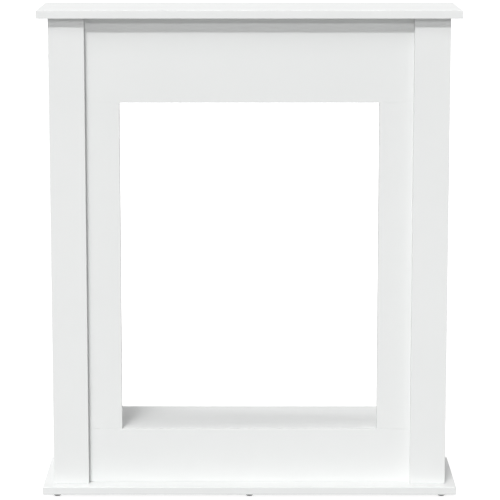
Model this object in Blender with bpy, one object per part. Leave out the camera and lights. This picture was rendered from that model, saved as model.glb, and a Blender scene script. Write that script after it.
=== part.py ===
"""Flat-pack fireplace surround in white laminated board, standing on low glides.

Metres, +Z up. The origin is on the floor below the middle of the surround. The front faces -Y, and the
wall is at the back, on the +Y side. A depth in this file is measured backwards from the front edges of
the mantel shelf and the base board, which are in one plane.
"""

import bmesh
import bpy
from mathutils import Matrix

# Driving dimensions
BOARD = 0.015               # thickness of every laminated board
WIDTH = 0.800               # mantel shelf and base board, end to end
DEPTH = 0.230               # mantel shelf and base board, front edge to wall
CLEAR_HEIGHT = 0.904        # from the top of the base board to the underside of the mantel shelf
FRONT_OVERHANG = 0.025      # shelf and base board past the faces of the pilasters
SIDE_OVERHANG = 0.0205      # shelf and base board past the side panels, at each end
PILASTER_WIDTH = 0.068
OPENING_WIDTH = 0.494
OPENING_HEIGHT = 0.636
RAIL_HEIGHT = 0.106         # bottom rail, from the base board to the level of the hearth shelf
FOOT_HEIGHT = 0.008
FOOT_TOP_RADIUS = 0.009
FOOT_TREAD_RADIUS = 0.006   # flat round spot that meets the floor
FOOT_INSET = 0.027          # centre of an outer glide from the edges of the base board
FEET_PER_ROW = 3

# Fits and edge finish
GAP = 0.0003                # hairline between two boards that meet
EDGE_ROUND = 0.0008         # edge banding of the shelf, the base board and the pilasters
PANEL_ROUND = 0.0004        # sharper edges of the boards that butt together
FOOT_SIDES = 32
FOOT_ROUND_STEPS = 3

# Heights
base_top = FOOT_HEIGHT + BOARD
mantel_underside = base_top + CLEAR_HEIGHT
mantel_top = mantel_underside + BOARD
hearth_level = base_top + RAIL_HEIGHT
opening_top = hearth_level + OPENING_HEIGHT

# Depths
pilaster_front = FRONT_OVERHANG
frame_front = pilaster_front + BOARD + GAP
frame_back = frame_front + BOARD

# Half widths
side_outer = WIDTH / 2 - SIDE_OVERHANG
side_inner = side_outer - BOARD
pilaster_inner = side_outer - PILASTER_WIDTH
opening_half = OPENING_WIDTH / 2

# Finishes as linear colour, roughness, metallic
WHITE_LAMINATE = ("white_laminate", (0.80, 0.81, 0.805), 0.42, 0.0)
GREY_PLASTIC = ("grey_plastic", (0.30, 0.30, 0.30), 0.50, 0.0)


def clear_scene():
    """Remove every object, so that the file also runs in an open session."""
    for old in list(bpy.data.objects):
        bpy.data.objects.remove(old, do_unlink=True)


def finish_material(node_name, finish):
    """Principled material for one piece, from a (name, colour, roughness, metallic) tuple."""
    finish_name, colour, roughness, metallic = finish
    material = bpy.data.materials.new(f"{node_name}_{finish_name}")
    material.use_nodes = True
    shader = material.node_tree.nodes["Principled BSDF"]
    shader.inputs["Base Color"].default_value = (*colour, 1.0)
    shader.inputs["Roughness"].default_value = roughness
    shader.inputs["Metallic"].default_value = metallic
    return material


def add_object(name, mesh, location, finish):
    """Put a mesh in the scene as a named piece with its own material."""
    piece = bpy.data.objects.new(name, mesh)
    piece.location = location
    mesh.materials.append(finish_material(name, finish))
    bpy.context.scene.collection.objects.link(piece)
    return piece


def add_board(name, across, depths, heights, edge_round):
    """A board between two X values, two depths and two heights, with its edges rounded."""
    spans = [
        (across[0], across[1]),
        (depths[0] - DEPTH / 2, depths[1] - DEPTH / 2),
        (heights[0], heights[1]),
    ]
    sizes = [high - low for low, high in spans]
    centre = [(low + high) / 2 for low, high in spans]
    board = bmesh.new()
    bmesh.ops.create_cube(board, size=1.0, matrix=Matrix.Diagonal((*sizes, 1.0)))
    bmesh.ops.bevel(
        board,
        geom=board.edges[:],
        offset=edge_round,
        offset_type="OFFSET",
        segments=2,
        profile=0.5,
        affect="EDGES",
    )
    mesh = bpy.data.meshes.new(name)
    board.to_mesh(mesh)
    board.free()
    return add_object(name, mesh, centre, WHITE_LAMINATE)


def foot_mesh():
    """A turned glide: a short cone whose tread is rounded into its side, with its seat at the top."""
    glide = bmesh.new()
    seat = FOOT_HEIGHT - GAP
    bmesh.ops.create_cone(
        glide,
        cap_ends=True,
        cap_tris=False,
        segments=FOOT_SIDES,
        radius1=FOOT_TREAD_RADIUS + EDGE_ROUND,
        radius2=FOOT_TOP_RADIUS,
        depth=seat,
        matrix=Matrix.Translation((0.0, 0.0, seat / 2)),
    )
    tread_rim = [edge for edge in glide.edges if all(v.co.z < seat / 2 for v in edge.verts)]
    bmesh.ops.bevel(
        glide,
        geom=tread_rim,
        offset=EDGE_ROUND,
        offset_type="OFFSET",
        segments=FOOT_ROUND_STEPS,
        profile=0.5,
        affect="EDGES",
    )
    mesh = bpy.data.meshes.new("foot")
    glide.to_mesh(mesh)
    glide.free()
    mesh.shade_smooth()
    mesh.set_sharp_from_angle(angle=0.9)
    return mesh


def add_shelf_and_base():
    """The two wide boards, top and bottom, that the uprights stand between."""
    full_width = (-WIDTH / 2, WIDTH / 2)
    add_board("base_board", full_width, (0.0, DEPTH), (FOOT_HEIGHT, base_top), EDGE_ROUND)
    add_board("mantel_shelf", full_width, (0.0, DEPTH), (mantel_underside, mantel_top), EDGE_ROUND)


def mirrored(inner, outer, side):
    """X values of a piece that reaches from inner to outer, on the left (-1) or the right (+1)."""
    return tuple(sorted((side * inner, side * outer)))


def add_side_panels_and_pilasters():
    """Each side panel runs from the back of its pilaster to the wall. The pilaster covers its edge."""
    heights = (base_top + GAP, mantel_underside - GAP)
    for label, side in (("left", -1), ("right", 1)):
        add_board(
            f"{label}_side_panel",
            mirrored(side_inner, side_outer, side),
            (frame_front, DEPTH),
            heights,
            PANEL_ROUND,
        )
        add_board(
            f"{label}_pilaster",
            mirrored(pilaster_inner, side_outer, side),
            (pilaster_front, pilaster_front + BOARD),
            heights,
            EDGE_ROUND,
        )


def add_front_frame():
    """Header, jamb strips and bottom rail, in one plane behind the pilasters, round the opening."""
    depths = (frame_front, frame_back)
    between_sides = (-side_inner + GAP, side_inner - GAP)
    add_board("header_panel", between_sides, depths, (opening_top, mantel_underside - GAP), PANEL_ROUND)
    add_board("bottom_rail", between_sides, depths, (base_top + GAP, hearth_level), PANEL_ROUND)
    for label, side in (("left", -1), ("right", 1)):
        add_board(
            f"{label}_jamb_strip",
            mirrored(opening_half, side_inner - GAP, side),
            depths,
            (hearth_level + GAP, opening_top - GAP),
            PANEL_ROUND,
        )


def add_hearth_shelf():
    """The floor of the opening: a board behind the frame, level with the top of the bottom rail."""
    add_board(
        "hearth_shelf",
        (-side_inner + GAP, side_inner - GAP),
        (frame_back + GAP, DEPTH),
        (hearth_level - BOARD, hearth_level),
        PANEL_ROUND,
    )


def add_feet():
    """Two rows of glides under the base board, spread evenly between its ends."""
    mesh = foot_mesh()
    first_x = -WIDTH / 2 + FOOT_INSET
    spacing = (WIDTH - 2 * FOOT_INSET) / (FEET_PER_ROW - 1)
    row_y = DEPTH / 2 - FOOT_INSET
    for row, y in (("front", -row_y), ("rear", row_y)):
        for index in range(FEET_PER_ROW):
            name = f"{row}_foot_{index + 1}"
            add_object(name, mesh.copy(), (first_x + index * spacing, y, 0.0), GREY_PLASTIC)
    bpy.data.meshes.remove(mesh)


def build_surround():
    """Model the whole surround, from the floor upwards."""
    clear_scene()
    add_feet()
    add_shelf_and_base()
    add_side_panels_and_pilasters()
    add_front_frame()
    add_hearth_shelf()


build_surround()
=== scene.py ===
"""Finished look of a flat-pack fireplace surround in white laminated board, standing on low glides.

Metres, +Z up. The front faces -Y and the wall is on the +Y side. Each board is cut again at the size and
place of its solid, with rounded edges, banding and a fine seam where the banding meets the laminate. The
glides are turned again too. The studio has a pale floor, soft white light and a camera with a long lens.
"""

from __future__ import annotations

import logging
import math
from collections.abc import Callable
from dataclasses import dataclass, field
from enum import Enum

import bpy
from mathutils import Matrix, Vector


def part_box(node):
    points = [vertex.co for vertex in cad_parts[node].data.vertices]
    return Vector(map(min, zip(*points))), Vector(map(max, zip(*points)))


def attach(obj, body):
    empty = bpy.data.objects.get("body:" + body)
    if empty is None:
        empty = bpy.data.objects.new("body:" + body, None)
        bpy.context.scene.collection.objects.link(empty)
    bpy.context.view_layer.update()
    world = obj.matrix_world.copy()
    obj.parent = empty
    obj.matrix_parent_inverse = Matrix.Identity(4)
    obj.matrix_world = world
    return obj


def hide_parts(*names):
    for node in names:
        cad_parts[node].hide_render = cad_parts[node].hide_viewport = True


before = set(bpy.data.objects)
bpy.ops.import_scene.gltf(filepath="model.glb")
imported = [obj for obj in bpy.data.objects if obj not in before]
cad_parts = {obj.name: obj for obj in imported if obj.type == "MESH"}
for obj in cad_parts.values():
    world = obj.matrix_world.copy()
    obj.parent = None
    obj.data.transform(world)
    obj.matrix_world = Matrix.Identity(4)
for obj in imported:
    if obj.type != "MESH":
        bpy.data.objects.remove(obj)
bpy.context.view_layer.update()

BODY = "root"
ALONG_AXIS = 0.999          # a normal with this share along an axis looks that way
NOISE_SPAN = (0.3, 0.7)     # where nearly all of a noise texture's values lie

log = logging.getLogger("fireplace_surround")


class Slot(Enum):
    """Material slots of the record."""

    LAMINATE = "white_laminate"
    PLASTIC = "grey_plastic"


class Lie(Enum):
    """How a board lies, by the axis that runs through its thickness."""

    SIDEWAYS = 0            # its broad faces look left and right
    FRONTAL = 1             # its broad faces look to the room and to the wall
    LEVEL = 2               # its broad faces look up and down


class Ends(Enum):
    """Which ends of a board are tight, as a 1 or 0 for its lower end and then for its upper end."""

    LOOSE = (0, 0)
    LOWER = (1, 0)
    UPPER = (0, 1)
    BOTH = (1, 1)


def deselect_everything() -> None:
    """Leave nothing selected, because an operator acts on all that is."""
    if bpy.context.mode != "OBJECT":
        bpy.ops.object.mode_set(mode="OBJECT")
    bpy.ops.object.select_all(action="DESELECT")


def take_up(piece: bpy.types.Object) -> None:
    """Select one piece alone and make it the active one."""
    deselect_everything()
    piece.select_set(True)
    bpy.context.view_layer.objects.active = piece


def open_with_faces(piece: bpy.types.Object, wanted: Callable[[bpy.types.MeshPolygon], bool]) -> None:
    """Open a piece in edit mode with only some of its faces selected.

    Args:
        piece: the mesh object.
        wanted: says of a face whether it is to be selected.
    """
    take_up(piece)
    bpy.ops.object.mode_set(mode="EDIT")
    bpy.ops.mesh.select_mode(type="FACE")
    bpy.ops.mesh.select_all(action="DESELECT")
    bpy.ops.object.mode_set(mode="OBJECT")
    for face in piece.data.polygons:
        face.select = wanted(face)
    bpy.ops.object.mode_set(mode="EDIT")


def close_piece() -> None:
    """Leave edit mode."""
    bpy.ops.object.mode_set(mode="OBJECT")


def settle(piece: bpy.types.Object) -> None:
    """Put a piece's place and size into its mesh, so that its object is at the origin and unscaled."""
    take_up(piece)
    bpy.ops.object.transform_apply(location=True, rotation=True, scale=True)


def hand_over(piece: bpy.types.Object, node: str) -> None:
    """Let a finished piece ride and stand for its solid.

    Args:
        piece: the finished mesh object.
        node: the solid that it stands for.
    """
    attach(piece, BODY)
    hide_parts(node)
    log.info("%s stands for %s, %d faces", piece.name, node, len(piece.data.polygons))


@dataclass(frozen=True)
class Shade:
    """The two near colours that a finish drifts between."""

    dark: tuple[float, float, float]
    light: tuple[float, float, float]


@dataclass(frozen=True)
class Relief:
    """A fine texture pressed into a surface."""

    grains: float               # how many there are to a metre
    depth: float                # in metres
    strength: float             # how much of it shows, from 0 to 1


class PaintBench:
    """A material in the making."""

    def __init__(self, name: str) -> None:
        """Start with Blender's own shader and output, and the piece's own coordinates."""
        self.material = bpy.data.materials.new(name)
        self.material.use_nodes = True
        self.nodes = self.material.node_tree.nodes
        self.links = self.material.node_tree.links
        self.shader = self.nodes["Principled BSDF"]
        self.place = self.nodes.new("ShaderNodeTexCoord").outputs["Object"]

    def speckle(self, grains: float, detail: float) -> bpy.types.NodeSocket:
        """Add noise on the piece's own coordinates.

        Args:
            grains: how many there are to a metre.
            detail: how many finer layers it has.

        Returns:
            The noise, nearly all of it within NOISE_SPAN.
        """
        noise = self.nodes.new("ShaderNodeTexNoise")
        noise.inputs["Scale"].default_value = grains
        noise.inputs["Detail"].default_value = detail
        self.links.new(self.place, noise.inputs["Vector"])
        return noise.outputs["Fac"]

    def tint(self, noise: bpy.types.NodeSocket, shade: Shade) -> None:
        """Let noise choose the base colour between the two ends of a shade."""
        ramp = self.nodes.new("ShaderNodeValToRGB")
        low, high = ramp.color_ramp.elements
        low.position, high.position = NOISE_SPAN
        low.color, high.color = (*shade.dark, 1.0), (*shade.light, 1.0)
        self.links.new(noise, ramp.inputs["Fac"])
        self.links.new(ramp.outputs["Color"], self.shader.inputs["Base Color"])

    def polish(self, noise: bpy.types.NodeSocket, roughness: tuple[float, float]) -> None:
        """Let noise choose the roughness between two values."""
        spread = self.nodes.new("ShaderNodeMapRange")
        ends = ("From Min", "From Max", "To Min", "To Max")
        for name, value in zip(ends, (*NOISE_SPAN, *roughness)):
            spread.inputs[name].default_value = value
        self.links.new(noise, spread.inputs["Value"])
        self.links.new(spread.outputs["Result"], self.shader.inputs["Roughness"])

    def emboss(self, noise: bpy.types.NodeSocket, relief: Relief) -> None:
        """Press noise into the surface."""
        bump = self.nodes.new("ShaderNodeBump")
        bump.inputs["Distance"].default_value = relief.depth
        bump.inputs["Strength"].default_value = relief.strength
        self.links.new(noise, bump.inputs["Height"])
        self.links.new(bump.outputs["Normal"], self.shader.inputs["Normal"])


@dataclass(frozen=True)
class Laminate:
    """White melamine paper on chipboard: satin, with a fine pearl texture and a faint cloudiness."""

    shade: Shade = Shade((0.793, 0.804, 0.799), (0.807, 0.817, 0.812))
    clouds: float = 5.0             # light and dark patches per metre
    sheen_patches: float = 40.0     # patches of more and less gloss per metre
    pearls: Relief = Relief(grains=1100.0, depth=0.00002, strength=0.35)
    roughness: tuple[float, float] = (0.38, 0.48)

    def material(self) -> bpy.types.Material:
        """Make the material."""
        bench = PaintBench("white_laminate")
        bench.tint(bench.speckle(self.clouds, 3.0), self.shade)
        bench.polish(bench.speckle(self.sheen_patches, 4.0), self.roughness)
        bench.emboss(bench.speckle(self.pearls.grains, 2.0), self.pearls)
        return bench.material


@dataclass(frozen=True)
class EdgeBand:
    """Plastic banding glued round the edges: smoother than the laminate and a touch glossier."""

    shade: Shade = Shade((0.796, 0.807, 0.802), (0.810, 0.820, 0.815))
    clouds: float = 12.0
    ripples: Relief = Relief(grains=260.0, depth=0.00001, strength=0.25)
    roughness: tuple[float, float] = (0.30, 0.38)

    def material(self) -> bpy.types.Material:
        """Make the material."""
        bench = PaintBench("white_edge_band")
        bench.tint(bench.speckle(self.clouds, 2.0), self.shade)
        ripples = bench.speckle(self.ripples.grains, 2.0)
        bench.polish(ripples, self.roughness)
        bench.emboss(ripples, self.ripples)
        return bench.material


@dataclass(frozen=True)
class MouldedPlastic:
    """Grey plastic of the glides, with the fine matt texture of its mould."""

    shade: Shade = Shade((0.27, 0.27, 0.27), (0.33, 0.33, 0.33))
    clouds: float = 180.0
    grain: Relief = Relief(grains=2600.0, depth=0.00003, strength=0.5)
    roughness: tuple[float, float] = (0.46, 0.60)

    def material(self) -> bpy.types.Material:
        """Make the material."""
        bench = PaintBench("grey_moulded_plastic")
        bench.tint(bench.speckle(self.clouds, 3.0), self.shade)
        grain = bench.speckle(self.grain.grains, 2.0)
        bench.polish(grain, self.roughness)
        bench.emboss(grain, self.grain)
        return bench.material


@dataclass
class Joinery:
    """Cuts, rounds, bands and dresses boards. The sub-assemblies that hold boards are kinds of it."""

    laminate: bpy.types.Material
    banding: bpy.types.Material
    band: float = 0.0010            # the banding's thickness, which shows as a rim round the laminate
    seam: float = 0.00008           # width of each flank of the seam between the two
    seam_depth: float = 0.00006
    reach: float = 0.00025          # how far a tight end reaches into the hairline beyond it
    round_steps: int = 3
    boards: dict[str, bpy.types.Object] = field(default_factory=dict)

    def cut(self, node: str, lie: Lie, round_over: float, ends: Ends = Ends.LOOSE) -> None:
        """Cut one board, round its edges and press its seams.

        Args:
            node: the solid that it stands for.
            lie: how it lies.
            round_over: radius of its edges in metres.
            ends: which of its lower and upper ends are tight.
        """
        low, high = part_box(node)
        below, above = ends.value
        low.z, high.z = low.z - below * self.reach, high.z + above * self.reach
        deselect_everything()
        bpy.ops.mesh.primitive_cube_add(size=1.0, location=(low + high) / 2, scale=high - low)
        board = bpy.context.active_object
        board.name = board.data.name = f"{node}_banded"
        settle(board)
        self.round_edges(board, round_over)
        self.press_seams(board, lie, self.band - round_over)
        self.boards[node] = board

    def round_edges(self, board: bpy.types.Object, round_over: float) -> None:
        """Round all twelve edges of a board."""
        open_with_faces(board, lambda face: True)
        bpy.ops.mesh.bevel(
            offset_type="OFFSET",
            offset=round_over,
            segments=self.round_steps,
            profile=0.5,
            affect="EDGES",
        )
        close_piece()

    def press_seams(self, board: bpy.types.Object, lie: Lie, rim: float) -> None:
        """Leave a flat rim on both broad faces, and press the fine seam inside it.

        Args:
            board: the rounded board.
            lie: how it lies.
            rim: width of the flat part of the banding that shows.
        """
        open_with_faces(board, lambda face: abs(face.normal[lie.value]) > ALONG_AXIS)
        bpy.ops.mesh.inset(thickness=rim, depth=0.0)
        bpy.ops.mesh.inset(thickness=self.seam, depth=-self.seam_depth)
        bpy.ops.mesh.inset(thickness=self.seam, depth=self.seam_depth)
        close_piece()

    def dress(self) -> None:
        """Band each board, lay laminate on its two broad faces and hand it over."""
        for node, board in self.boards.items():
            for finish in (self.banding, self.laminate):
                board.data.materials.append(finish)
            broad_faces = sorted(board.data.polygons, key=lambda face: face.area)[-2:]
            for face in broad_faces:
                face.material_index = board.data.materials.find(self.laminate.name)
            self.even_out_shading(board)
            hand_over(board, node)

    def even_out_shading(self, board: bpy.types.Object) -> None:
        """Weight the normals by area, so that flats stay flat and only roundings turn."""
        take_up(board)
        bpy.ops.object.shade_smooth()
        bpy.ops.object.modifier_add(type="WEIGHTED_NORMAL")
        weighting = board.modifiers[-1]
        weighting.weight = 100
        bpy.ops.object.modifier_apply(modifier=weighting.name)


@dataclass
class ShelfAndBase(Joinery):
    """The two wide boards, top and bottom, with soft edges all round."""

    round_over: float = 0.0008

    def build(self) -> None:
        """Cut both boards."""
        for node in ("base_board", "mantel_shelf"):
            self.cut(node, Lie.LEVEL, self.round_over)


@dataclass
class SidesAndPilasters(Joinery):
    """The uprights: side panels that run back to the wall, with the pilasters on their front edges."""

    panel_round: float = 0.0004
    pilaster_round: float = 0.0008

    def build(self) -> None:
        """Cut the four uprights."""
        for side in ("left", "right"):
            self.cut(f"{side}_side_panel", Lie.SIDEWAYS, self.panel_round, Ends.BOTH)
            self.cut(f"{side}_pilaster", Lie.FRONTAL, self.pilaster_round, Ends.BOTH)


@dataclass
class FrontFrame(Joinery):
    """Header, jamb strips and bottom rail, in one plane round the opening."""

    joint_round: float = 0.0002     # crisp edges, so that the joints stay fine
    rail_round: float = 0.0006      # softer, so that the edge before the hearth catches the light

    def build(self) -> None:
        """Cut the four boards of the frame."""
        self.cut("header_panel", Lie.FRONTAL, self.joint_round, Ends.UPPER)
        self.cut("bottom_rail", Lie.FRONTAL, self.rail_round, Ends.LOWER)
        for node in ("left_jamb_strip", "right_jamb_strip"):
            self.cut(node, Lie.FRONTAL, self.joint_round, Ends.BOTH)


@dataclass
class HearthShelf(Joinery):
    """The floor of the opening."""

    panel_round: float = 0.0004

    def build(self) -> None:
        """Cut the shelf."""
        self.cut("hearth_shelf", Lie.LEVEL, self.panel_round)


@dataclass
class Glides:
    """Turned glides in two rows: a flat tread, a rounded shoulder, a flare and a straight collar."""

    plastic: bpy.types.Material
    tread_radius: float = 0.0058
    shoulder: float = 0.0012        # radius of the rounding between tread and flare
    shoulder_turn: float = math.radians(60)
    collar: float = 0.0014          # height of the straight part under the board
    sides: int = 48
    shoulder_steps: int = 4
    crease: float = math.radians(40)
    glides: dict[str, bpy.types.Object] = field(default_factory=dict)

    def build(self) -> None:
        """Turn the first glide and copy it to the places of the others."""
        nodes = [f"{row}_foot_{place}" for row in ("front", "rear") for place in (1, 2, 3)]
        first = self.turn(nodes[0])
        self.glides[nodes[0]] = first
        for node in nodes[1:]:
            self.glides[node] = self.copy_to(first, nodes[0], node)

    def profile(self, radius: float, height: float) -> list[tuple[float, float]]:
        """Radius and height of each ring above the tread, from the shoulder to the seat.

        Args:
            radius: of the collar.
            height: of the whole glide.

        Returns:
            One pair for each ring.
        """
        rings = []
        for step in range(1, self.shoulder_steps + 1):
            turn = self.shoulder_turn * step / self.shoulder_steps
            out = self.tread_radius + self.shoulder * math.sin(turn)
            rings.append((out, self.shoulder * (1 - math.cos(turn))))
        return [*rings, (radius, height - self.collar), (radius, height)]

    def turn(self, node: str) -> bpy.types.Object:
        """Model a glide at the place of a solid, ring by ring from its tread upwards."""
        low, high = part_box(node)
        middle = (low + high) / 2
        deselect_everything()
        bpy.ops.mesh.primitive_circle_add(
            vertices=self.sides,
            radius=self.tread_radius,
            fill_type="NGON",
            location=(middle.x, middle.y, low.z),
        )
        glide = bpy.context.active_object
        settle(glide)
        open_with_faces(glide, lambda face: True)
        last_radius, last_height = self.tread_radius, 0.0
        for ring_radius, ring_height in self.profile((high.x - low.x) / 2, high.z - low.z):
            rise = (0.0, 0.0, ring_height - last_height)
            share = ring_radius / last_radius
            bpy.ops.mesh.extrude_region_move(TRANSFORM_OT_translate={"value": rise})
            bpy.ops.transform.resize(
                value=(share, share, 1.0), center_override=(middle.x, middle.y, low.z + ring_height)
            )
            last_radius, last_height = ring_radius, ring_height
        bpy.ops.mesh.select_all(action="SELECT")
        bpy.ops.mesh.normals_make_consistent(inside=False)
        close_piece()
        bpy.ops.object.shade_smooth_by_angle(angle=self.crease)
        return glide

    def copy_to(self, glide: bpy.types.Object, here: str, there: str) -> bpy.types.Object:
        """Copy a glide with its mesh.

        Args:
            glide: the glide to copy.
            here: the solid at whose place it stands.
            there: the solid at whose place the copy goes.

        Returns:
            The copy.
        """
        take_up(glide)
        bpy.ops.object.duplicate(linked=False)
        copy = bpy.context.active_object
        bpy.ops.transform.translate(value=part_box(there)[0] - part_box(here)[0])
        settle(copy)
        return copy

    def dress(self) -> None:
        """Name each glide, give it the plastic and hand it over."""
        for node, glide in self.glides.items():
            glide.name = glide.data.name = f"{node}_turned"
            glide.data.materials.append(self.plastic)
            hand_over(glide, node)


@dataclass(frozen=True)
class Lamp:
    """A far lamp, with its angles in degrees."""

    name: str
    azimuth: float              # from the front round by the left, and below 0 by the right
    elevation: float
    strength: float
    spread: float               # its width in the sky

    def hang(self) -> None:
        """Put the lamp into the scene."""
        data = bpy.data.lights.new(self.name, "SUN")
        data.energy = self.strength
        data.angle = math.radians(self.spread)
        lamp = bpy.data.objects.new(self.name, data)
        azimuth, elevation = math.radians(self.azimuth), math.radians(self.elevation)
        level = math.cos(elevation)
        source = Vector((-math.sin(azimuth) * level, -math.cos(azimuth) * level, math.sin(elevation)))
        lamp.rotation_euler = source.to_track_quat("Z", "Y").to_euler()
        bpy.context.scene.collection.objects.link(lamp)


@dataclass
class Studio:
    """A pale floor, soft light from a white room, the lamps and the camera.

    The three keys stand for one level strip of light. They throw a single line of shadow under the
    mantel shelf and a soft edge on the hearth.
    """

    lamps: tuple[Lamp, ...] = (
        Lamp("key_near", azimuth=9.0, elevation=36.1, strength=0.38, spread=4.0),
        Lamp("key_middle", azimuth=12.0, elevation=35.8, strength=0.45, spread=4.0),
        Lamp("key_far", azimuth=19.0, elevation=34.9, strength=0.455, spread=4.0),
        Lamp("soft_key", azimuth=24.0, elevation=46.0, strength=0.76, spread=30.0),
        Lamp("low_fill", azimuth=5.0, elevation=16.5, strength=0.565, spread=4.0),
        Lamp("left_front", azimuth=83.0, elevation=35.0, strength=0.18, spread=6.0),
        Lamp("left_rear", azimuth=97.0, elevation=22.0, strength=0.60, spread=6.0),
        Lamp("right_fill", azimuth=-93.0, elevation=5.0, strength=0.30, spread=8.0),
        Lamp("steep", azimuth=0.0, elevation=84.0, strength=0.50, spread=8.0),
        Lamp("steep_rear", azimuth=180.0, elevation=84.0, strength=0.33, spread=8.0),
        Lamp("back", azimuth=180.0, elevation=26.0, strength=0.55, spread=60.0),
    )
    floor_size: float = 60.0
    floor_white: float = 0.43
    floor_glow: float = 0.88            # for the camera alone, so that shadows on the floor stay pale
    floor_roughness: float = 0.9
    room_light: float = 0.215
    camera_across: float = 0.0012
    camera_distance: float = 4.5        # from the front edge of the mantel shelf
    camera_height: float = 1.261
    camera_pitch: float = 9.742         # degrees below the horizon
    camera_lens: float = 173.0
    camera_sensor: float = 36.0

    def build(self) -> None:
        """Lay the floor, light the room and set up the camera."""
        self.lay_floor()
        self.light_room()
        for lamp in self.lamps:
            lamp.hang()
        self.place_camera()
        bpy.context.scene.view_settings.view_transform = "Standard"

    def lay_floor(self) -> None:
        """A wide matt floor at the height of the treads."""
        deselect_everything()
        bpy.ops.mesh.primitive_plane_add(size=self.floor_size, location=(0.0, 0.0, 0.0))
        floor = bpy.context.active_object
        floor.name = floor.data.name = "studio_floor"
        material = bpy.data.materials.new("pale_floor")
        material.use_nodes = True
        nodes, links = material.node_tree.nodes, material.node_tree.links
        shader = nodes["Principled BSDF"]
        shader.inputs["Base Color"].default_value = (*(self.floor_white,) * 3, 1.0)
        shader.inputs["Roughness"].default_value = self.floor_roughness
        shader.inputs["Specular IOR Level"].default_value = 0.0
        shader.inputs["Emission Color"].default_value = (1.0, 1.0, 1.0, 1.0)
        glow = nodes.new("ShaderNodeMath")
        glow.operation = "MULTIPLY"
        glow.inputs[1].default_value = self.floor_glow
        seen = nodes.new("ShaderNodeLightPath").outputs["Is Camera Ray"]
        links.new(seen, glow.inputs[0])
        links.new(glow.outputs["Value"], shader.inputs["Emission Strength"])
        floor.data.materials.append(material)

    def light_room(self) -> None:
        """Soft light from all round, and a plain white backdrop for the camera past the floor."""
        room = bpy.data.worlds.new("studio_room")
        room.use_nodes = True
        nodes, links = room.node_tree.nodes, room.node_tree.links
        light = nodes["Background"]
        light.inputs["Color"].default_value = (1.0, 1.0, 1.0, 1.0)
        light.inputs["Strength"].default_value = self.room_light
        backdrop = nodes.new("ShaderNodeBackground")
        choice = nodes.new("ShaderNodeMixShader")
        seen = nodes.new("ShaderNodeLightPath").outputs["Is Camera Ray"]
        links.new(seen, choice.inputs["Fac"])
        links.new(light.outputs["Background"], choice.inputs[1])
        links.new(backdrop.outputs["Background"], choice.inputs[2])
        links.new(choice.outputs["Shader"], nodes["World Output"].inputs["Surface"])
        backdrop.inputs["Color"].default_value = (1.0, 1.0, 1.0, 1.0)
        bpy.context.scene.world = room

    def place_camera(self) -> None:
        """A long lens in front of the surround, a little above its shelf and looking slightly down."""
        data = bpy.data.cameras.new("photo_view")
        data.lens = self.camera_lens
        data.sensor_width = self.camera_sensor
        camera = bpy.data.objects.new("photo_view", data)
        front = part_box("mantel_shelf")[0].y
        camera.location = (self.camera_across, front - self.camera_distance, self.camera_height)
        camera.rotation_euler = (math.radians(90.0 - self.camera_pitch), 0.0, 0.0)
        bpy.context.scene.collection.objects.link(camera)
        bpy.context.scene.camera = camera


def main() -> None:
    """Make the finishes, build and dress each sub-assembly, and set up the studio."""
    logging.basicConfig(level=logging.INFO, format="%(name)s: %(message)s")
    laminate, banding = Laminate().material(), EdgeBand().material()
    assemblies = (
        Glides(MouldedPlastic().material()),
        ShelfAndBase(laminate, banding),
        SidesAndPilasters(laminate, banding),
        FrontFrame(laminate, banding),
        HearthShelf(laminate, banding),
    )
    for assembly in assemblies:
        assembly.build()
        assembly.dress()
    Studio().build()


if __name__ == "__main__":
    main()
